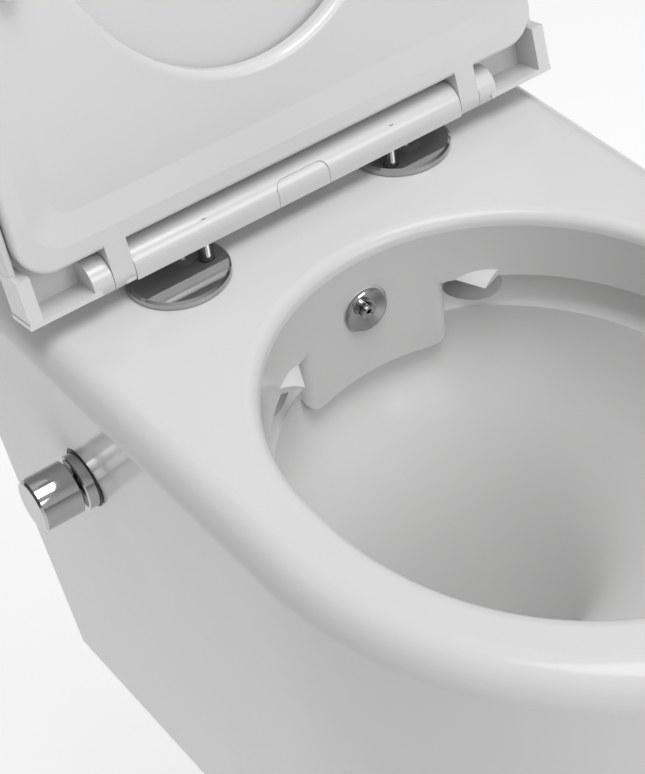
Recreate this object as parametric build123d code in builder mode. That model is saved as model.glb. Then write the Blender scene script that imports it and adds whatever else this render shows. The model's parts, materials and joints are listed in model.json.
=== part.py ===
"""Wall-hung rimless toilet pan with a built-in bidet jet, soft-close seat and lid.

Frame: X to the right as a person faces the wall, +Y into the wall, +Z up.
The origin is midway between the two wall studs, on the wall face.
Seat and lid are modelled in their own swing frame and stand raised.
"""
from build123d import *
import os
from math import cos, radians, sin

os.makedirs("parts", exist_ok=True)

# ---- driving dimensions, mm ------------------------------------------------
pan_width = 360.0
pan_length = 540.0
pan_height = 372.0
wall_thickness = 12.0
rim = 80.0                    # top face of the ceramic above the wall studs
stud_spacing = 180.0
stud_hole_radius = 8.0
outlet_drop = 180.0           # outlet centre below the rim
inlet_drop = 45.0             # flush inlet centre below the rim
side_lean = 28.0              # each side draws in this much from rim to base
edge_radius = 18.0
web_depth = 14.0

bowl_half_width = 130.0
bowl_rear = -182.0
bowl_front = -494.0
boss_half_width = 52.0
boss_drop = 88.0
boss_corner = 16.0
lip_drop = 46.0

axis_y = -123.0
axis_z = rim + 18.0
open_angle = 102.0            # seat and lid lean 12 degrees past upright
barrel_radius = 12.0
barrel_flat = 5.5             # underside of the bar below its axis
bar_half = 110.8
seat_lug_half = 124.4
lid_stub_half = 137.0
pin_radius = 4.0
side_gap = 0.4

seat_under = -12.0
seat_top = 5.0
lid_under = 8.0
lid_top = 12.0

hinge_hole_x = 77.5
hinge_hole_y = -126.0
post_x = 64.0
post_y = -126.5
post_radius = 4.5
disc_radius = 30.0
disc_height = 5.0
disc_centres = ((-86.0, -132.5), (76.0, -119.5))

knob_y = -139.0
knob_z = rim - 96.0
knob_radius = 16.2
knob_face_x = -205.0
nozzle_z = rim - 41.0
side_face_x = -169.0          # flat seat of the valve on the ceramic side


def save(builder, label):
    """Label one finished piece and write its file."""
    builder.part.label = label
    export_step(builder.part, f"parts/{label}.step")
    print(label, round(builder.part.volume / 1000.0, 1), "cm3")


def swing_plane(height=0.0):
    """The seat and lid's own ground plane through the hinge axis, as it stands raised."""
    tilt = radians(open_angle)
    base = Plane(origin=(0, axis_y, axis_z), x_dir=(1, 0, 0), z_dir=(0, sin(tilt), cos(tilt)))
    return base.offset(height)


def hull_outline(half_rear, half_mid, rear, widest, front):
    """Straight, slightly converging sides closed by a half ellipse at the front."""
    with BuildLine() as outline:
        Line((-half_rear, rear), (-half_mid, widest))
        EllipticalCenterArc((0, widest), half_mid, widest - front, 180, arc_size=180)
        Line((half_mid, widest), (half_rear, rear))
        Line((half_rear, rear), (-half_rear, rear))
    make_face(outline.edges())


def egg_outline(half, rear, front, mode=Mode.ADD):
    """Bowl outline: rear half ellipse, short straight sides, longer front half ellipse."""
    length = rear - front
    rear_axis = 0.458 * length
    front_axis = 0.494 * length
    with BuildLine() as outline:
        EllipticalCenterArc((0, rear - rear_axis), half, rear_axis, 0, arc_size=180)
        Line((-half, rear - rear_axis), (-half, front + front_axis))
        EllipticalCenterArc((0, front + front_axis), half, front_axis, 180, arc_size=180)
        Line((half, front + front_axis), (half, rear - rear_axis))
    make_face(outline.edges(), mode=mode)


# ---- ceramic pan -----------------------------------------------------------
# drop below the rim, fraction of the side lean, front recess of the nose
hull_levels = ((0.0, 0.0), (124.0, 14.0), (248.0, 58.0), (372.0, 142.0))


def hull_section(drop, recess, inset, rear):
    lean = side_lean * drop / pan_height
    half_rear = pan_width / 2 - lean - inset
    half_mid = half_rear - 7.0
    widest = -330.0 + 0.45 * recess
    hull_outline(half_rear, half_mid, rear, widest, -pan_length + recess + inset)


mouth_radius = 8.0


def is_mouth_edge(edge):
    """True for an edge of the bowl's mouth, found by where its middle lies."""
    middle = edge @ 0.5
    return abs(middle.X) < bowl_half_width + 1.0 and bowl_front - 6.0 < middle.Y < bowl_rear + 12.0


with BuildPart() as hull:
    for drop, recess in hull_levels:
        with BuildSketch(Plane.XY.offset(rim - drop)):
            hull_section(drop, recess, 0.0, 2.0)
    loft()
    # flat wall face
    with Locations((0, 5.0, rim - pan_height / 2)):
        Box(2 * pan_width, 10.0, 2 * pan_height, mode=Mode.SUBTRACT)
    with BuildSketch(Plane.XY.offset(rim)):
        egg_outline(bowl_half_width, bowl_rear, bowl_front)
    extrude(amount=-lip_drop, mode=Mode.SUBTRACT)
    top_edges = hull.faces().sort_by(Axis.Z)[-1].edges()
    rear_edge = top_edges.sort_by(Axis.Y)[-1]
    mouth_edges = top_edges.filter_by(is_mouth_edge)
    side_edges = [e for e in top_edges if e not in mouth_edges and e != rear_edge]
    fillet(side_edges, edge_radius)
    top_edges = hull.faces().sort_by(Axis.Z)[-1].edges()
    fillet(top_edges.filter_by(is_mouth_edge), mouth_radius)

with BuildPart() as inner_space:
    for drop, recess in ((14.0, 2.0), (124.0, 14.0), (248.0, 58.0), (360.0, 136.0)):
        with BuildSketch(Plane.XY.offset(rim - drop)):
            hull_section(drop, recess, wall_thickness, -web_depth)
    loft()
    # the back is open below the web
    with BuildSketch(Plane.XY.offset(rim - 240.0)):
        with Locations((0, -web_depth / 2)):
            Rectangle(2 * 146.0, 3 * web_depth)
    extrude(amount=-120.0)

bowl_outer_levels = (
    (8.0, 150, -160, -516),
    (70.0, 150, -160, -512),
    (120.0, 122, -168, -470),
    (165.0, 88, -196, -392),
    (205.0, 70, -213, -352),
    (250.0, 54, -222, -338),
)
with BuildPart() as bowl_body:
    for drop, half, rear, front in bowl_outer_levels:
        with BuildSketch(Plane.XY.offset(rim - drop)):
            egg_outline(half, rear, front)
    loft()

trap_points = [(0, -283, rim - 190), (0, -283, rim - 287), (0, -180, rim - 287), (0, -140, rim - 180),
               (0, -60, rim - 180)]
trap_bend = 42.0


def trap_pipe(radius):
    with BuildLine() as path:
        FilletPolyline(*trap_points, radius=trap_bend)
    with BuildSketch(Plane(origin=trap_points[0], z_dir=(0, 0, -1))) as section:
        Circle(radius)
    sweep(sections=section.sketch, path=path.wires()[0])


with BuildPart() as trap_body:
    trap_pipe(39.0)
with BuildPart() as trap_bore:
    trap_pipe(29.0)

arm_start = Vector(34, -98, rim - 47)
arm_end = Vector(74, -212, rim - 56)


def water_arms(radius, start_back, end_past):
    """Both flush arms, from the rear chamber to the recesses beside the nozzle boss."""
    for side in (-1, 1):
        begin = Vector(side * arm_start.X, arm_start.Y, arm_start.Z)
        finish = Vector(side * arm_end.X, arm_end.Y, arm_end.Z)
        along = (finish - begin).normalized()
        begin = begin - along * start_back
        with BuildSketch(Plane(origin=begin, z_dir=along)) as section:
            Circle(radius)
        extrude(section.sketch, amount=(finish - begin).length + end_past)


with BuildPart() as bowl_space:
    # groove under the rim lip
    for drop, half, rear, front in ((lip_drop - 3.0, 130, -182, -494),
                                    (lip_drop + 4.0, 138, -174, -502),
                                    (lip_drop + 12.0, 139, -173, -503),
                                    (lip_drop + 22.0, 126, -176, -488)):
        with BuildSketch(Plane.XY.offset(rim - drop)):
            egg_outline(half, rear, front)
    loft()
    for drop, half, rear, front in ((lip_drop + 22.0, 126, -176, -488), (110.0, 106, -180, -450),
                                    (150.0, 78, -206, -376), (190.0, 58, -224, -340),
                                    (225.0, 44, -238, -327), (248.0, 34, -248, -317),
                                    (262.0, 28, -255, -311)):
        with BuildSketch(Plane.XY.offset(rim - drop)):
            egg_outline(half, rear, front)
    loft()

with BuildPart() as nozzle_boss:
    with BuildSketch(Plane.XY.offset(rim - boss_drop)):
        with Locations((0, -160)):
            Rectangle(2 * boss_half_width, 110)
        egg_outline(bowl_half_width, bowl_rear, bowl_front, mode=Mode.SUBTRACT)
    extrude(amount=boss_drop - 20.0)
    corners = nozzle_boss.edges().filter_by(Axis.Z).group_by(Axis.Y)[0]
    fillet(corners, 7.0)
    with BuildSketch(Plane.XZ.offset(100.0)):
        with Locations((0, rim - boss_drop / 2)):
            RectangleRounded(2 * boss_half_width, boss_drop, boss_corner)
    extrude(amount=120.0, mode=Mode.INTERSECT)

with BuildPart() as arm_bodies:
    water_arms(17.0, 8.0, -4.0)
with BuildPart() as arm_bores:
    water_arms(11.0, 8.0, 8.0)

valve_hole_radius = 13.0
outlet_radius = 51.0
outlet_end = -10.0

with BuildPart() as pan:
    add(hull.part)
    add(inner_space.part - bowl_body.part - trap_body.part, mode=Mode.SUBTRACT)
    # flush chamber walls and the two arms that feed the rim groove
    with BuildSketch(Plane.XZ.offset(60.0)):
        with Locations((0, rim - inlet_drop)):
            Circle(38.0)
    extrude(amount=-58.0)
    with BuildSketch(Plane.XZ.offset(58.0)):
        with Locations((0, rim - inlet_drop)):
            Rectangle(120.0, 64.0)
    extrude(amount=50.0)
    add(arm_bodies.part)
    # outlet spigot
    with BuildSketch(Plane.XZ.offset(-outlet_end)):
        with Locations((0, rim - outlet_drop)):
            Circle(outlet_radius)
    extrude(amount=66.0)
    # pads that thicken the deck round the seat bolts and the side round the valve
    with BuildSketch(Plane.XY.offset(rim - 16.0)):
        with Locations((-hinge_hole_x, hinge_hole_y), (hinge_hole_x, hinge_hole_y)):
            Circle(15.0)
    extrude(amount=6.0)
    with BuildSketch(Plane.YZ.offset(-155.0)):
        with Locations((knob_y, knob_z)):
            Circle(24.0)
    extrude(amount=-9.0)

    # water ways
    add(bowl_space.part - nozzle_boss.part, mode=Mode.SUBTRACT)
    add(trap_bore.part, mode=Mode.SUBTRACT)
    with BuildSketch(Plane.XZ):
        with Locations((0, rim - inlet_drop)):
            Circle(27.5)
    extrude(amount=66.0, mode=Mode.SUBTRACT)
    with BuildSketch(Plane.XZ.offset(66.0)):
        with Locations((0, rim - inlet_drop)):
            Rectangle(104.0, 48.0)
    extrude(amount=34.0, mode=Mode.SUBTRACT)
    add(arm_bores.part, mode=Mode.SUBTRACT)
    with BuildSketch(Plane.XZ.offset(-1.0)):
        with Locations((0, rim - outlet_drop)):
            Circle(62.0)
            Circle(outlet_radius, mode=Mode.SUBTRACT)
    extrude(amount=web_depth + 1.0, mode=Mode.SUBTRACT)
    with BuildSketch(Plane.XZ.offset(-1.0)):
        with Locations((0, rim - outlet_drop)):
            Circle(62.0)
    extrude(amount=11.0, mode=Mode.SUBTRACT)
    with BuildSketch(Plane.XZ.offset(10.0)):
        with Locations((0, rim - outlet_drop)):
            Circle(45.0)
    extrude(amount=50.0, mode=Mode.SUBTRACT)
    # wall stud holes and the window for the water supply
    with BuildSketch(Plane.XZ.offset(-1.0)):
        with Locations((-stud_spacing / 2, 0), (stud_spacing / 2, 0)):
            Circle(stud_hole_radius)
        with Locations((-118, rim - 190)):
            RectangleRounded(44.0, 70.0, 8.0)
    extrude(amount=web_depth + 2.0, mode=Mode.SUBTRACT)
    # flat seats for the valve's seal and the nozzle's gasket
    with BuildSketch(Plane.YZ.offset(side_face_x)):
        with Locations((knob_y, knob_z)):
            Circle(19.5)
    extrude(amount=-12.0, mode=Mode.SUBTRACT)
    with BuildSketch(Plane.XZ.offset(-bowl_rear)):
        with Locations((0, nozzle_z)):
            Circle(15.0)
    extrude(amount=6.0, mode=Mode.SUBTRACT)
    # seat bolt holes, valve hole, nozzle hole
    with BuildSketch(Plane.XY.offset(rim + 1.0)):
        with Locations((-hinge_hole_x, hinge_hole_y), (hinge_hole_x, hinge_hole_y)):
            Circle(7.0)
    extrude(amount=-22.0, mode=Mode.SUBTRACT)
    with BuildSketch(Plane.YZ.offset(-185.0)):
        with Locations((knob_y, knob_z)):
            Circle(valve_hole_radius)
    extrude(amount=45.0, mode=Mode.SUBTRACT)
    with BuildSketch(Plane.XZ.offset(150.0)):
        with Locations((0, nozzle_z)):
            Circle(7.0)
    extrude(amount=60.0, mode=Mode.SUBTRACT)
print("pan valid", pan.part.is_valid, "solids", len(pan.solids()))
save(pan, "pan")

# ---- seat and lid, in the swing frame -------------------------------------
seat_half_rear = 172.0
seat_half_mid = 167.0
seat_front = -410.0
seat_rear = -18.0
swing_widest = -207.0
hole_half_width = 105.0
hole_rear = -75.6
hole_front = -347.0
dish_depth = 2.5
dish_levels = ((0.0, 11.0, 20.0), (dish_depth, 27.0, 12.0))
hole_edge_radius = 5.0
lid_half_rear = 177.5
lid_half_mid = 172.5
lid_front = -415.5
lid_rear = 6.0
lid_skin = 4.0
skirt_under = -3.0
ear_depth = 26.0


def swing_outline(half_rear, half_mid, rear, front):
    hull_outline(half_rear, half_mid, rear, swing_widest, front)


def barrel_cut(first_x, last_x):
    """Flatten the underside of a barrel, level with the bar, between two X positions."""
    with Locations(((first_x + last_x) / 2, axis_y, axis_z - barrel_flat - 10)):
        Box(abs(last_x - first_x), 60, 20, mode=Mode.SUBTRACT)


def along_swing_z(edge):
    return abs(edge.tangent_at(0.5).dot(swing_plane().z_dir)) > 0.99


def faces_swing_z(face):
    return abs(face.normal_at().dot(swing_plane().z_dir)) > 0.999


def beside_hole(edge):
    """True for an edge round the seat's hole, found by where its middle lies."""
    middle = swing_plane().to_local_coords(edge @ 0.5)
    inside = abs(middle.X) < hole_half_width + 1 and hole_front - 1 < middle.Y < hole_rear + 1
    return inside and not along_swing_z(edge)


with BuildPart() as seat:
    with BuildSketch(swing_plane(seat_under)):
        swing_outline(seat_half_rear, seat_half_mid, seat_rear, seat_front)
    extrude(amount=seat_top - seat_under)
    rear_corners = seat.edges().filter_by(along_swing_z).group_by(Axis.Z)[0]
    fillet(rear_corners, 20.0)
    flat_faces = seat.faces().filter_by(faces_swing_z)
    fillet(flat_faces.edges(), 3.0)
    with BuildSketch(swing_plane(seat_under)):
        egg_outline(hole_half_width, hole_rear, hole_front)
    extrude(amount=30.0, mode=Mode.SUBTRACT)
    # shallow hollow underneath, leaving a raised rounded margin
    for height, inset, corner in dish_levels:
        with BuildSketch(swing_plane(seat_under + height)) as hollow:
            swing_outline(seat_half_rear - inset, seat_half_mid - inset,
                          seat_rear - inset, seat_front + inset)
            fillet(hollow.vertices().group_by(Axis.Y)[-1], corner)
    loft(mode=Mode.SUBTRACT)
    hole_edges = seat.edges().filter_by(beside_hole)
    fillet(hole_edges, hole_edge_radius)
    # lugs that wrap round the hinge axis at both ends of the bar
    for side in (-1, 1):
        near = side * (bar_half + side_gap)
        far = side * (seat_lug_half)
        with BuildSketch(Plane.YZ.offset(min(near, far))):
            with Locations((axis_y, axis_z)):
                Circle(barrel_radius)
        extrude(amount=abs(far - near))
        with BuildSketch(swing_plane(seat_under)):
            with Locations(((near + far) / 2, seat_rear / 2 - 2)):
                Rectangle(abs(far - near), -seat_rear + 4)
        extrude(amount=seat_top - seat_under)
        barrel_cut(near, far)
        with BuildSketch(Plane.YZ.offset(min(near, far) - 1)):
            with Locations((axis_y, axis_z)):
                Circle(pin_radius + 0.1)
        extrude(amount=abs(far - near) + 2, mode=Mode.SUBTRACT)
print("seat valid", seat.part.is_valid, "solids", len(seat.solids()))
save(seat, "seat")

with BuildPart() as lid:
    with BuildSketch(swing_plane(skirt_under)):
        swing_outline(lid_half_rear, lid_half_mid, lid_rear, lid_front)
    extrude(amount=lid_top - skirt_under)
    chamfer(lid.edges().filter_by(along_swing_z).group_by(Axis.Z)[0], 12.0, 6.0)
    fillet(lid.faces().sort_by(Axis.Y)[-1].edges(), 3.0)
    with BuildSketch(swing_plane(skirt_under)):
        swing_outline(lid_half_rear - lid_skin, lid_half_mid - lid_skin,
                      lid_rear - 3.0, lid_front + lid_skin)
    extrude(amount=lid_under - skirt_under, mode=Mode.SUBTRACT)
    # ears: the rim deepens round the rear corners until it is flush with the bar
    with BuildSketch(swing_plane(seat_under)):
        for side in (-1, 1):
            with Locations((side * (lid_half_rear - 4.5), lid_rear - ear_depth / 2 - 3.0)):
                Rectangle(8.0, ear_depth)
            with Locations((side * (lid_stub_half + lid_half_rear - 4.0) / 2, lid_rear - 1.5)):
                Rectangle(lid_half_rear - lid_stub_half + 4.0, 3.0)
    extrude(amount=lid_top - 1.0 - seat_under)
    for side in (-1, 1):
        near = side * (seat_lug_half + side_gap)
        far = side * lid_stub_half
        with BuildSketch(Plane.YZ.offset(min(near, far))):
            with Locations((axis_y, axis_z)):
                Circle(barrel_radius)
        extrude(amount=abs(far - near))
        barrel_cut(near, far)
        with BuildSketch(Plane.YZ.offset(min(near - side, far - side))):
            with Locations((axis_y, axis_z)):
                Circle(pin_radius + 0.1)
        extrude(amount=abs(far - near), mode=Mode.SUBTRACT)
    # room for the bar and the seat lugs
    with BuildSketch(swing_plane(-30.0)):
        with Locations((0, 20.0 - 11.5)):
            Rectangle(2 * (seat_lug_half + side_gap), 40.0)
    extrude(amount=60.0, mode=Mode.SUBTRACT)
print("lid valid", lid.part.is_valid, "solids", len(lid.solids()))
save(lid, "lid")

# soft pads: four under the seat, two between seat and lid
buffer_places = ((-132, -178), (132, -178), (-96, -316), (96, -316))
with BuildPart() as seat_buffers:
    with BuildSketch(swing_plane(seat_under + dish_depth)):
        for x, y in buffer_places:
            with Locations((x, y)):
                SlotOverall(26.0, 12.0, rotation=90)
    extrude(amount=-(18.0 - 0.5 + seat_under + dish_depth))
save(seat_buffers, "seat_buffers")

with BuildPart() as lid_buffers:
    with BuildSketch(swing_plane(lid_under)):
        for x in (-136, 136):
            with Locations((x, -230)):
                Circle(6.0)
    extrude(amount=-(lid_under - seat_top - 0.5))
save(lid_buffers, "lid_buffers")

# ---- hinge bar -------------------------------------------------------------
button_half = 17.0
button_top = axis_z + 9.0
button_depth = 5.0
button_corner = 5.0
damper_length = 36.0
cavity_half_height = 3.4
latch_z = axis_z + 1.5
socket_radius = post_radius + 0.3


def bar_profile(grow=0.0):
    """Round on top, square below, as wide as the barrels."""
    with Locations((axis_y, axis_z)):
        Circle(barrel_radius + grow)
    with Locations((axis_y, axis_z - (barrel_flat + grow) / 2)):
        Rectangle(2 * (barrel_radius + grow), barrel_flat + grow)
    with Locations((axis_y, axis_z - barrel_flat - grow - 20)):
        Rectangle(80, 40, mode=Mode.SUBTRACT)


def damper_profile(grow=0.0):
    with Locations((axis_y, axis_z)):
        Circle(7.4 + grow)
    with Locations((axis_y, axis_z - 4.0 - grow - 10)):
        Rectangle(30, 20, mode=Mode.SUBTRACT)


def button_outline(grow=0.0):
    """Front shape of the release button, rounded at its top corners."""
    low = axis_z - barrel_flat - 10.0
    high = button_top + grow
    with Locations((0, (low + high) / 2)):
        RectangleRounded(2 * (button_half + grow), high - low, button_corner)


with BuildPart() as hinge_bar:
    with BuildSketch(Plane.YZ.offset(-bar_half)):
        bar_profile()
    extrude(amount=2 * bar_half)
    for side in (-1, 1):
        inner_x = side * (bar_half - damper_length)
        with BuildSketch(Plane.YZ.offset(min(inner_x, side * (bar_half + 1)))):
            damper_profile(0.15)
        extrude(amount=damper_length + 1, mode=Mode.SUBTRACT)
    # sockets that drop over the posts
    with BuildSketch(Plane.XY.offset(axis_z - barrel_flat - 1)):
        with Locations((-post_x, post_y), (post_x, post_y)):
            Circle(socket_radius)
    extrude(amount=barrel_flat + 1 + 9.0, mode=Mode.SUBTRACT)
    # tunnel for the latch slides
    with Locations((0, post_y, latch_z)):
        Box(2 * (post_x + 5.5), 7.6, 2 * cavity_half_height, mode=Mode.SUBTRACT)
    # opening for the release button, with room behind it
    with BuildSketch(Plane.XZ.offset(-axis_y)):
        button_outline(0.3)
    extrude(amount=barrel_radius + 3.0, mode=Mode.SUBTRACT)
    with Locations((0, axis_y + 2.5, latch_z)):
        Box(30, 12, 2 * cavity_half_height, mode=Mode.SUBTRACT)
print("bar valid", hinge_bar.part.is_valid, "solids", len(hinge_bar.solids()))
save(hinge_bar, "hinge_bar")

with BuildPart() as release_button:
    with BuildSketch(Plane.YZ.offset(-button_half)):
        bar_profile()
    extrude(amount=2 * button_half)
    with BuildSketch(Plane.XZ.offset(barrel_radius - button_depth - axis_y)):
        button_outline()
    extrude(amount=button_depth, mode=Mode.INTERSECT)
    # the wedge that spreads the two latch slides
    with BuildSketch(Plane.XY.offset(latch_z - 2.0)):
        with Locations((0, axis_y - barrel_radius + 5.4)):
            Trapezoid(16.0, 2.0, 70.0)
    extrude(amount=4.0)
print("button valid", release_button.part.is_valid, "solids", len(release_button.solids()))
save(release_button, "release_button")

latch_tip = post_x - 1.5
latch_root = 20.4
for side, label in ((-1, "left_latch"), (1, "right_latch")):
    with BuildPart() as latch:
        with BuildSketch(Plane.XY.offset(latch_z - 2.5)):
            with Locations((side * (latch_tip + latch_root) / 2, post_y)):
                Rectangle(latch_tip - latch_root, 6.4)
            with Locations((side * 15.5, axis_y - 1.35)):
                Rectangle(13.0, 2.3)
        extrude(amount=5.0)
        # fork round the near side of the post
        with BuildSketch(Plane.XY.offset(latch_z - 3.0)):
            with Locations((side * post_x, post_y)):
                Circle(post_radius + 0.2)
        extrude(amount=6.0, mode=Mode.SUBTRACT)
    print(label, latch.part.is_valid, len(latch.solids()))
    save(latch, label)

with BuildPart() as button_spring:
    with BuildLine() as coil:
        Helix(pitch=1.5, height=4.5, radius=2.4, center=(0, axis_y + 3.6, latch_z), direction=(0, 1, 0))
    with BuildSketch(Plane(origin=coil.line @ 0, z_dir=coil.line % 0)) as wire:
        Circle(0.35)
    sweep(sections=wire.sketch, path=coil.line)
print("spring", button_spring.part.is_valid)
save(button_spring, "button_spring")

# ---- soft-close dampers ----------------------------------------------------
for side, label in ((-1, "seat_damper"), (1, "lid_damper")):
    outer_x = side * (bar_half - 0.2)
    inner_x = side * (bar_half - damper_length + 0.2)
    with BuildPart() as damper:
        with BuildSketch(Plane.YZ.offset(min(outer_x, inner_x))):
            damper_profile()
        extrude(amount=abs(outer_x - inner_x))
        with BuildSketch(Plane.YZ.offset(min(outer_x, side * (bar_half - 14)))):
            with Locations((axis_y, axis_z)):
                Circle(3.2)
        extrude(amount=14.0, mode=Mode.SUBTRACT)
    save(damper, label)
    shaft_start = side * (bar_half - 12.0)
    shaft_end = side * (lid_stub_half - 1.2)
    with BuildPart() as shaft:
        with BuildSketch(Plane.YZ.offset(min(shaft_start, shaft_end))):
            with Locations((axis_y, axis_z)):
                Circle(3.0)
        extrude(amount=abs(shaft_end - shaft_start))
        shoulder = side * (bar_half + side_gap)
        with BuildSketch(Plane.YZ.offset(min(shoulder, shaft_end))):
            with Locations((axis_y, axis_z)):
                Circle(pin_radius)
        extrude(amount=abs(shaft_end - shoulder))
        chamfer(shaft.edges().filter_by(GeomType.CIRCLE).sort_by(Axis.X)[-1 if side > 0 else 0], 0.6)
    save(shaft, label + "_shaft")

# ---- hinge discs, posts and the bolts through the deck ---------------------
bolt_places = [(-hinge_hole_x, hinge_hole_y), (hinge_hole_x, hinge_hole_y)]
gasket_height = 0.8

with BuildPart() as hinge_discs:
    for centre, bolt in zip(disc_centres, bolt_places):
        with BuildSketch(Plane.XY.offset(rim + gasket_height)):
            with Locations(centre):
                Circle(disc_radius)
        extrude(amount=disc_height - gasket_height)
    chamfer(hinge_discs.edges().filter_by(GeomType.CIRCLE).group_by(Axis.Z)[-1], 1.3)
    for bolt in bolt_places:
        with Locations((bolt[0], bolt[1], rim + disc_height)):
            CounterSinkHole(4.2, 8.0)
save(hinge_discs, "hinge_discs")

with BuildPart() as disc_gaskets:
    with BuildSketch(Plane.XY.offset(rim)):
        with Locations(*disc_centres):
            Circle(disc_radius - 1.0)
        with Locations(*bolt_places):
            Circle(4.6, mode=Mode.SUBTRACT)
    extrude(amount=gasket_height)
save(disc_gaskets, "disc_gaskets")

post_top = axis_z + 8.0
with BuildPart() as hinge_posts:
    with BuildSketch(Plane.XY.offset(rim + disc_height)):
        with Locations((-post_x, post_y), (post_x, post_y)):
            Circle(post_radius)
    extrude(amount=post_top - rim - disc_height)
    chamfer(hinge_posts.edges().filter_by(GeomType.CIRCLE).group_by(Axis.Z)[-1], 1.0)
    with BuildSketch(Plane.XY.offset(latch_z - 3.0)):
        with Locations((-post_x, post_y), (post_x, post_y)):
            Circle(post_radius + 1)
            Circle(post_radius - 0.9, mode=Mode.SUBTRACT)
    extrude(amount=6.0, mode=Mode.SUBTRACT)
save(hinge_posts, "hinge_posts")

washer_top = rim - 16.0
with BuildPart() as hinge_bolts:
    for bolt in bolt_places:
        with BuildSketch(Plane.XY.offset(rim - 52.0)):
            with Locations(bolt):
                Circle(4.0)
        extrude(amount=52.0 + disc_height - 3.8)
        with Locations((bolt[0], bolt[1], rim + disc_height - 0.1 - 2.0)):
            Cone(4.0, 7.8, 4.0)
    with BuildSketch(Plane.XY.offset(rim + disc_height - 2.2)):
        with Locations(*bolt_places):
            RegularPolygon(2.9, 6)
    extrude(amount=5.0, mode=Mode.SUBTRACT)
save(hinge_bolts, "hinge_bolts")

with BuildPart() as hinge_washers:
    with BuildSketch(Plane.XY.offset(washer_top)):
        with Locations(*bolt_places):
            Circle(12.0)
            Circle(4.2, mode=Mode.SUBTRACT)
    extrude(amount=-4.0)
save(hinge_washers, "hinge_washers")

with BuildPart() as hinge_nuts:
    with BuildSketch(Plane.XY.offset(washer_top - 4.0)):
        with Locations(*bolt_places):
            RegularPolygon(10.5, 6)
            Circle(4.1, mode=Mode.SUBTRACT)
    extrude(amount=-9.0)
save(hinge_nuts, "hinge_nuts")

# ---- bidet valve on the left side -----------------------------------------


def valve_ring(builder_start, builder_end, outer, inner=0.0, mode=Mode.ADD):
    """A plain turned length on the valve's axis between two X positions."""
    with BuildSketch(Plane.YZ.offset(min(builder_start, builder_end))) as ring:
        with Locations((knob_y, knob_z)):
            Circle(outer)
            if inner > 0:
                Circle(inner, mode=Mode.SUBTRACT)
    extrude(ring.sketch, amount=abs(builder_end - builder_start), mode=mode)


knob_inner_x = -180.4
collar_back_x = -171.3
seal_thickness = 2.0

with BuildPart() as knob:
    valve_ring(knob_face_x, knob_inner_x, knob_radius)
    chamfer(knob.edges().filter_by(GeomType.CIRCLE).sort_by(Axis.X)[0], 1.4)
    valve_ring(-194.0, knob_inner_x, 4.6, mode=Mode.SUBTRACT)
    with BuildSketch(Plane.XY.offset(knob_z - knob_radius - 1)) as screw_hole:
        with Locations((-190.0, knob_y)):
            Circle(2.0)
    extrude(screw_hole.sketch, amount=14.0, mode=Mode.SUBTRACT)
save(knob, "knob")

with BuildPart() as knob_screw:
    with BuildSketch(Plane.XY.offset(knob_z - knob_radius + 1.5)) as screw:
        with Locations((-190.0, knob_y)):
            Circle(1.9)
            RegularPolygon(1.0, 6, mode=Mode.SUBTRACT)
    extrude(screw.sketch, amount=knob_radius - 1.5 - 4.55)
save(knob_screw, "knob_screw")

with BuildPart() as valve_spindle:
    valve_ring(-193.8, -160.0, 4.5)
save(valve_spindle, "valve_spindle")

with BuildPart() as valve_collar:
    valve_ring(-177.9, collar_back_x, 17.0, 12.2)
    front_circles = valve_collar.edges().filter_by(GeomType.CIRCLE).group_by(Axis.X)[0]
    chamfer(front_circles.sort_by(SortBy.LENGTH)[-1], 0.8)
save(valve_collar, "valve_collar")

with BuildPart() as valve_seal:
    with BuildSketch(Plane.XY.offset(knob_z)) as seal:
        with Locations((side_face_x - seal_thickness / 2 - 0.1, knob_y + 17.0)):
            Circle(seal_thickness / 2)
    revolve(seal.sketch, axis=Axis((0, knob_y, knob_z), (1, 0, 0)))
save(valve_seal, "valve_seal")

body_radius = 12.0
with BuildPart() as valve_body:
    valve_ring(-177.9, -118.0, body_radius)
    valve_ring(collar_back_x + 0.1, side_face_x - 0.1, 15.0)
    valve_ring(-177.9, -176.9, 12.0, 4.6, mode=Mode.SUBTRACT)
    valve_ring(-177.9, -145.0, 4.6, mode=Mode.SUBTRACT)
    valve_ring(-161.0, -145.0, 8.2, mode=Mode.SUBTRACT)
    # inlet tail below
    with BuildSketch(Plane.XY.offset(knob_z - 30.0)) as inlet:
        with Locations((-128.0, knob_y)):
            Circle(8.0)
    extrude(inlet.sketch, amount=28.0)
    with Locations(Plane(origin=(-128.0, knob_y, knob_z - 30.0), z_dir=(0, 0, -1))):
        Hole(5.5, depth=28.0)
save(valve_body, "valve_body")

with BuildPart() as valve_cartridge:
    valve_ring(-160.0, -145.2, 8.1)
save(valve_cartridge, "valve_cartridge")

with BuildPart() as valve_washer:
    valve_ring(-154.9, -152.9, 18.0, 12.2)
save(valve_washer, "valve_washer")

with BuildPart() as valve_nut:
    with BuildSketch(Plane.YZ.offset(-152.8)):
        with Locations((knob_y, knob_z)):
            RegularPolygon(17.0, 6)
            Circle(12.15, mode=Mode.SUBTRACT)
    extrude(amount=7.0)
save(valve_nut, "valve_nut")

# ---- nozzle through the boss ----------------------------------------------
nozzle_axis = Axis((0, 0, nozzle_z), (0, 1, 0))
face_y = bowl_rear


def turned(points):
    """Revolve a half profile, given as radius and Y pairs, about the nozzle's axis."""
    with BuildSketch(Plane(origin=(0, 0, nozzle_z), z_dir=(0, 0, 1))) as half_profile:
        with BuildLine() as edge:
            Polyline(*points, close=True)
        make_face(edge.edges())
    revolve(half_profile.sketch, axis=nozzle_axis)


with BuildPart() as nozzle_gasket:
    turned([(6.6, face_y), (13.0, face_y), (13.0, face_y - 1.0), (6.6, face_y - 1.0)])
save(nozzle_gasket, "nozzle_gasket")

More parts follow.
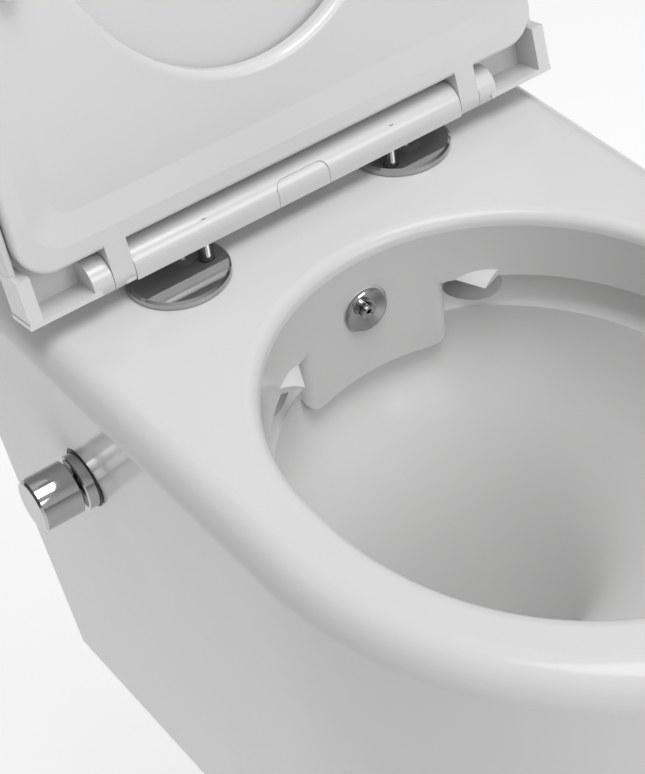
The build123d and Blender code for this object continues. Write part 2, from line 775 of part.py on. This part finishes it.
with BuildPart() as nozzle_escutcheon:
    turned([(4.9, face_y - 1.0), (13.5, face_y - 1.0), (13.5, face_y - 3.0), (13.0, face_y - 3.8),
            (12.3, face_y - 3.8), (6.4, face_y - 2.0), (4.9, face_y - 2.0)])
save(nozzle_escutcheon, "nozzle_escutcheon")

with BuildPart() as nozzle_tip:
    turned([(1.5, face_y + 10.0), (4.5, face_y + 10.0), (4.5, face_y - 4.6), (3.7, face_y - 5.4),
            (2.3, face_y - 5.4), (1.5, face_y - 4.4)])
save(nozzle_tip, "nozzle_tip")

with BuildPart() as nozzle_body:
    turned([(4.55, face_y - 1.0), (6.4, face_y - 1.0), (6.4, face_y + 36.0), (2.5, face_y + 36.0),
            (2.5, face_y + 10.2), (4.55, face_y + 10.2)])
save(nozzle_body, "nozzle_body")

nut_face = -160.0
with BuildPart() as nozzle_washer:
    turned([(6.5, nut_face), (11.5, nut_face), (11.5, nut_face + 1.5), (6.5, nut_face + 1.5)])
save(nozzle_washer, "nozzle_washer")

with BuildPart() as nozzle_nut:
    with BuildSketch(Plane.XZ.offset(-(nut_face + 1.5))) as nut:
        with Locations((0, nozzle_z)):
            RegularPolygon(11.0, 6)
            Circle(6.45, mode=Mode.SUBTRACT)
    extrude(nut.sketch, amount=-6.5)
save(nozzle_nut, "nozzle_nut")

elbow_y = face_y + 45.0
elbow_radius = 6.2
elbow_bottom = nozzle_z - 13.0
with BuildPart() as nozzle_elbow:
    with BuildSketch(Plane.XZ.offset(-(face_y + 36.0))) as entry:
        with Locations((0, nozzle_z)):
            Circle(elbow_radius)
    extrude(entry.sketch, amount=-9.0)
    with Locations((0, elbow_y, nozzle_z)):
        Sphere(elbow_radius)
    with BuildSketch(Plane.XY.offset(elbow_bottom)) as drop_leg:
        with Locations((0, elbow_y)):
            Circle(elbow_radius)
    extrude(drop_leg.sketch, amount=13.0)
save(nozzle_elbow, "nozzle_elbow")

# ---- hose between valve and nozzle ----------------------------------------
check_valve_end = -103.0
ferrule_length = 12.0
hose_radius = 4.5
with BuildPart() as check_valve:
    valve_ring(-117.9, check_valve_end, 8.5)
    valve_ring(-114.0, -107.0, 9.6)
save(check_valve, "check_valve")

hose_start = check_valve_end + 0.1 + ferrule_length
hose_top = elbow_bottom - 0.1 - ferrule_length
hose_points = [
    (hose_start, knob_y, knob_z),
    (-62.0, knob_y, knob_z),
    (-26.0, elbow_y - 1.0, knob_z - 8.0),
    (0.0, elbow_y, knob_z + 9.0),
    (0.0, elbow_y, hose_top),
]


def bend_radii(points):
    """Largest sensible fillet at each corner of a route."""
    corners = [Vector(*point) for point in points]
    radii = []
    for before, corner, after in zip(corners, corners[1:], corners[2:]):
        arriving = corner - before
        leaving = after - corner
        shorter = min(arriving.length, leaving.length)
        half_turn = radians(arriving.get_angle(leaving) / 2)
        radii.append(round(0.45 * shorter * cos(half_turn) / sin(half_turn), 1))
    return radii


hose_bends = bend_radii(hose_points)
print("hose bend radii", hose_bends)
with BuildPart() as bidet_hose:
    with BuildLine() as route:
        FilletPolyline(*hose_points, radius=hose_bends)
    with BuildSketch(Plane(origin=route.line @ 0, z_dir=route.line % 0)) as bore:
        Circle(hose_radius)
    sweep(sections=bore.sketch, path=route.line)
hose_length = sum(edge.length for edge in route.edges())
print("hose length", round(hose_length, 1), "volume ratio",
      round(bidet_hose.part.volume / (3.14159 * hose_radius ** 2 * hose_length), 3))
save(bidet_hose, "bidet_hose")

with BuildPart() as hose_ferrules:
    first = Plane(origin=route.line @ 0, z_dir=-(route.line % 0))
    last = Plane(origin=route.line @ 1, z_dir=route.line % 1)
    with BuildSketch(first, last) as ferrule:
        Circle(6.6)
    extrude(ferrule.sketch, amount=ferrule_length)
save(hose_ferrules, "hose_ferrules")

# ---- seals and wall fixings -----------------------------------------------

def wall_ring(places, inner, outer, near_y, far_y):
    with BuildSketch(Plane.XZ.offset(-far_y)) as ring:
        with Locations(*places):
            Circle(outer)
            Circle(inner, mode=Mode.SUBTRACT)
    extrude(ring.sketch, amount=far_y - near_y)


with BuildPart() as inlet_seal:
    wall_ring([(0, rim - inlet_drop)], 22.5, 27.4, -24.0, -1.0)
save(inlet_seal, "inlet_seal")

stud_places = [(-stud_spacing / 2, 0), (stud_spacing / 2, 0)]
with BuildPart() as stud_sleeves:
    wall_ring(stud_places, 6.2, stud_hole_radius - 0.1, -web_depth, 0.0)
    wall_ring(stud_places, 6.2, 12.0, -web_depth - 2.0, -web_depth)
save(stud_sleeves, "stud_sleeves")

with BuildPart() as stud_washers:
    wall_ring(stud_places, 6.5, 14.0, -web_depth - 4.4, -web_depth - 2.0)
save(stud_washers, "stud_washers")

with BuildPart() as stud_nuts:
    with BuildSketch(Plane.XZ.offset(web_depth + 4.4)) as nuts:
        with Locations(*stud_places):
            RegularPolygon(10.9, 6)
            Circle(5.2, mode=Mode.SUBTRACT)
    extrude(nuts.sketch, amount=10.0)
save(stud_nuts, "stud_nuts")
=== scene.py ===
"""Wall-hung bidet toilet with raised seat and lid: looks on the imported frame."""
import json
import math

import bpy
from mathutils import Matrix, Vector

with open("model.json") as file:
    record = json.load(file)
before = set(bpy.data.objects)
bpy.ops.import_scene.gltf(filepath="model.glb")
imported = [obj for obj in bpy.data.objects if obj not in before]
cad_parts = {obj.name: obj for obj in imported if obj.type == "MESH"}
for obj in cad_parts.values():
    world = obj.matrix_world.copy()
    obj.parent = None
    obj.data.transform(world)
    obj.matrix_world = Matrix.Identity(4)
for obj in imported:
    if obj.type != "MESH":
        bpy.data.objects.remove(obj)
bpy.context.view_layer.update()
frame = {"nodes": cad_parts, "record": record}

# camera: pixels, metres, degrees and the sensor's millimetres
PICTURE_WIDTH = 645
FOCAL_PIXELS = 1992.55
CAMERA_PLACE = (-0.45472, -0.92144, 0.75093)
CAMERA_AZIMUTH = -29.63
CAMERA_ELEVATION = 41.45
CAMERA_ROLL = -8.29
SENSOR = 36.0

# a wide pale floor that fills the picture's background, with a glow that keeps it near white
FLOOR_Z = -0.75
FLOOR_SIZE = 60.0
FLOOR_COLOR = (0.74, 0.74, 0.74)
FLOOR_GLOW = 0.38
FLOOR_ROUGHNESS = 0.9

# grey of the surroundings by height: 0 is the horizon and below, 1 is straight up
SKY_STEPS = ((0.0, 0.30), (0.10, 0.10), (0.30, 0.12), (0.50, 0.16), (0.72, 0.5), (1.0, 1.0))

# area lights: name, place, width, watts, and height where it isn't square
LIGHT_TARGET = (0.0, -0.25, 0.0)
LIGHTS = (
    ("overhead", (0.1, -0.8, 2.6), 1.5, 36.0, None),
    ("front_right", (1.0, -2.6, 1.5), 1.2, 14.0, None),
    ("front_left", (-0.2, -2.9, 1.5), 1.9, 17.0, None),
    ("left_strip", (-2.0, -0.9, 0.9), 0.3, 0.5, 1.6),
)

# how the noise in a finish is used
TINT_START = 0.3
TINT_END = 0.7
GLOSS_TO_TINT_SCALE = 2.3
GLOSS_DETAIL = 6.0
RELIEF_DETAIL = 3.0
PLAIN_NOISE_SCALE = 40.0
PLAIN_BUMP_SCALE = 900.0

# the valve's brass body and spindle, where they show in the groove beside the knob, get a
# near-black metal: painted shade for that groove
GROOVE_SHADE_NODES = ("valve_body", "valve_spindle")


# ---- materials -------------------------------------------------------------
def new_material(name, color, roughness, metallic=0.0):
    material = bpy.data.materials.new(name)
    material.use_nodes = True
    shader = material.node_tree.nodes["Principled BSDF"]
    shader.inputs["Base Color"].default_value = (*color, 1.0)
    shader.inputs["Roughness"].default_value = roughness
    shader.inputs["Metallic"].default_value = metallic
    return material, shader


def object_noise(material, scale, detail=4.0, stretch=(1.0, 1.0, 1.0)):
    """Noise fixed to the object, so it moves with its piece."""
    tree = material.node_tree
    place = tree.nodes.new("ShaderNodeTexCoord")
    mapping = tree.nodes.new("ShaderNodeMapping")
    mapping.inputs["Scale"].default_value = stretch
    noise = tree.nodes.new("ShaderNodeTexNoise")
    noise.inputs["Scale"].default_value = scale
    noise.inputs["Detail"].default_value = detail
    tree.links.new(place.outputs["Object"], mapping.inputs["Vector"])
    tree.links.new(mapping.outputs["Vector"], noise.inputs["Vector"])
    return noise.outputs["Fac"]


def spread(material, source, low, high):
    """Turns a 0 to 1 value into a range of plain numbers."""
    node = material.node_tree.nodes.new("ShaderNodeMapRange")
    node.inputs["To Min"].default_value = low
    node.inputs["To Max"].default_value = high
    material.node_tree.links.new(source, node.inputs["Value"])
    return node.outputs["Result"]


def tint(material, source, first, second):
    """Turns a 0 to 1 value into a colour between two."""
    node = material.node_tree.nodes.new("ShaderNodeValToRGB")
    node.color_ramp.elements[0].position = TINT_START
    node.color_ramp.elements[1].position = TINT_END
    node.color_ramp.elements[0].color = (*first, 1.0)
    node.color_ramp.elements[1].color = (*second, 1.0)
    material.node_tree.links.new(source, node.inputs["Fac"])
    return node.outputs["Color"]


def bump(material, shader, source, height):
    node = material.node_tree.nodes.new("ShaderNodeBump")
    node.inputs["Distance"].default_value = height
    node.inputs["Strength"].default_value = 1.0
    material.node_tree.links.new(source, node.inputs["Height"])
    material.node_tree.links.new(node.outputs["Normal"], shader.inputs["Normal"])


def finish(name, color, other_color, roughness, noise_scale, bump_scale, bump_height,
           metallic=0.0, stretch=(1.0, 1.0, 1.0)):
    """A material with drifting colour, drifting gloss and a fine surface relief.

    roughness is its lowest and highest value, and bump_height is in metres."""
    material, shader = new_material(name, color, roughness[0], metallic)
    links = material.node_tree.links
    drift = object_noise(material, noise_scale)
    links.new(tint(material, drift, color, other_color), shader.inputs["Base Color"])
    gloss = object_noise(material, noise_scale * GLOSS_TO_TINT_SCALE, GLOSS_DETAIL, stretch)
    links.new(spread(material, gloss, *roughness), shader.inputs["Roughness"])
    relief = object_noise(material, bump_scale, RELIEF_DETAIL, stretch)
    bump(material, shader, relief, bump_height)
    return material, shader


def glaze():
    material, shader = finish("glazed_ceramic", (0.60, 0.60, 0.597), (0.615, 0.615, 0.611),
                              roughness=(0.15, 0.20), noise_scale=5.0,
                              bump_scale=34.0, bump_height=0.00010)
    shader.inputs["IOR"].default_value = 1.32
    shader.inputs["Coat Weight"].default_value = 0.08
    shader.inputs["Coat Roughness"].default_value = 0.04
    return material


def moulded():
    material, shader = finish("seat_plastic", (0.64, 0.64, 0.638), (0.66, 0.66, 0.656),
                              roughness=(0.16, 0.24), noise_scale=8.0,
                              bump_scale=700.0, bump_height=0.000015)
    shader.inputs["Coat Weight"].default_value = 0.3
    shader.inputs["Coat Roughness"].default_value = 0.08
    return material


def chrome():
    material, _ = finish("chrome", (0.43, 0.433, 0.438), (0.48, 0.482, 0.486),
                         roughness=(0.03, 0.08), noise_scale=30.0,
                         bump_scale=260.0, bump_height=0.000008, metallic=1.0)
    return material


def plain(name, color, other_color, roughness, metallic=0.0, stretch=(1.0, 1.0, 1.0)):
    """A small piece's finish, with the same fine relief for all of them."""
    material, _ = finish(name, color, other_color, roughness, noise_scale=PLAIN_NOISE_SCALE,
                         bump_scale=PLAIN_BUMP_SCALE, bump_height=0.00003,
                         metallic=metallic, stretch=stretch)
    return material


finishes = {
    "glazed_ceramic": glaze(),
    "seat_plastic": moulded(),
    "chrome": chrome(),
    "spring_steel": plain("spring_steel", (0.52, 0.52, 0.53), (0.60, 0.60, 0.60),
                          (0.22, 0.36), metallic=1.0, stretch=(1.0, 1.0, 12.0)),
    "brass": plain("brass", (0.66, 0.50, 0.22), (0.74, 0.58, 0.28),
                   (0.2, 0.34), metallic=1.0),
    "soft_rubber": plain("soft_rubber", (0.72, 0.72, 0.70), (0.76, 0.76, 0.74), (0.45, 0.6)),
    "black_rubber": plain("black_rubber", (0.015, 0.015, 0.016), (0.025, 0.025, 0.026),
                          (0.4, 0.55)),
    "dark_plastic": plain("dark_plastic", (0.20, 0.20, 0.21), (0.24, 0.24, 0.25), (0.35, 0.5)),
}
# painted shade: a near-black metal standing in for the shade in the groove beside the knob
groove_shade_finish = plain("painted_groove_shade", (0.07, 0.07, 0.072), (0.10, 0.10, 0.10),
               (0.3, 0.42), metallic=1.0)

for row in frame["record"]["subparts"]:
    piece = frame["nodes"][row["node"]]
    look = groove_shade_finish if row["node"] in GROOVE_SHADE_NODES else finishes[row["material_slot"]]
    piece.data.materials.clear()
    piece.data.materials.append(look)


# ---- floor, light and camera -----------------------------------------------
def flat_sheet(name, size, place, color, glow):
    half = size / 2
    mesh = bpy.data.meshes.new(name)
    corners = [(-half, -half, 0), (half, -half, 0), (half, half, 0), (-half, half, 0)]
    mesh.from_pydata(corners, [], [(0, 1, 2, 3)])
    sheet = bpy.data.objects.new(name, mesh)
    sheet.location = place
    material, shader = new_material(name, color, FLOOR_ROUGHNESS)
    shader.inputs["Emission Color"].default_value = (1.0, 1.0, 1.0, 1.0)
    shader.inputs["Emission Strength"].default_value = glow
    mesh.materials.append(material)
    bpy.context.scene.collection.objects.link(sheet)


def studio_sky(steps):
    """Grey surroundings whose level changes with the height of the view direction."""
    world = bpy.data.worlds.new("studio")
    world.use_nodes = True
    nodes, links = world.node_tree.nodes, world.node_tree.links
    sky = nodes["Background"]
    sky.inputs["Strength"].default_value = 1.0
    direction = nodes.new("ShaderNodeTexCoord")
    height = nodes.new("ShaderNodeSeparateXYZ")
    bands = nodes.new("ShaderNodeValToRGB")
    links.new(direction.outputs["Generated"], height.inputs["Vector"])
    links.new(height.outputs["Z"], bands.inputs["Fac"])
    links.new(bands.outputs["Color"], sky.inputs["Color"])
    for place, _ in steps[1:-1]:
        bands.color_ramp.elements.new(place)
    for element, (place, level) in zip(bands.color_ramp.elements, steps):
        element.position = place
        element.color = (level, level, level, 1.0)
    bpy.context.scene.world = world


def area_light(name, place, target, width, power, height=None):
    light = bpy.data.lights.new(name, "AREA")
    light.energy = power
    light.size = width
    if height:
        light.shape = "RECTANGLE"
        light.size_y = height
    lamp = bpy.data.objects.new(name, light)
    lamp.location = place
    aim = Vector(target) - Vector(place)
    lamp.rotation_euler = aim.to_track_quat("-Z", "Y").to_euler()
    bpy.context.scene.collection.objects.link(lamp)


flat_sheet("floor", FLOOR_SIZE, (0, 0, FLOOR_Z), FLOOR_COLOR, FLOOR_GLOW)
studio_sky(SKY_STEPS)
for name, place, width, power, height in LIGHTS:
    area_light(name, place, LIGHT_TARGET, width, power, height)

camera_data = bpy.data.cameras.new("camera")
camera_data.sensor_fit = "HORIZONTAL"
camera_data.sensor_width = SENSOR
camera_data.lens = FOCAL_PIXELS / PICTURE_WIDTH * SENSOR
camera = bpy.data.objects.new("camera", camera_data)
bpy.context.scene.collection.objects.link(camera)
azimuth, elevation, roll = (math.radians(a) for a in
                            (CAMERA_AZIMUTH, CAMERA_ELEVATION, CAMERA_ROLL))
back = Vector((math.sin(azimuth) * math.cos(elevation),
               -math.cos(azimuth) * math.cos(elevation), math.sin(elevation)))
right = (-back).cross(Vector((0, 0, 1))).normalized()
up = right.cross(-back)
right_rolled = math.cos(roll) * right + math.sin(roll) * up
up_rolled = math.cos(roll) * up - math.sin(roll) * right
turn = Matrix((right_rolled, up_rolled, back)).transposed().to_4x4()
camera.matrix_world = Matrix.Translation(CAMERA_PLACE) @ turn
bpy.context.scene.camera = camera
bpy.context.scene.view_settings.view_transform = "Standard"
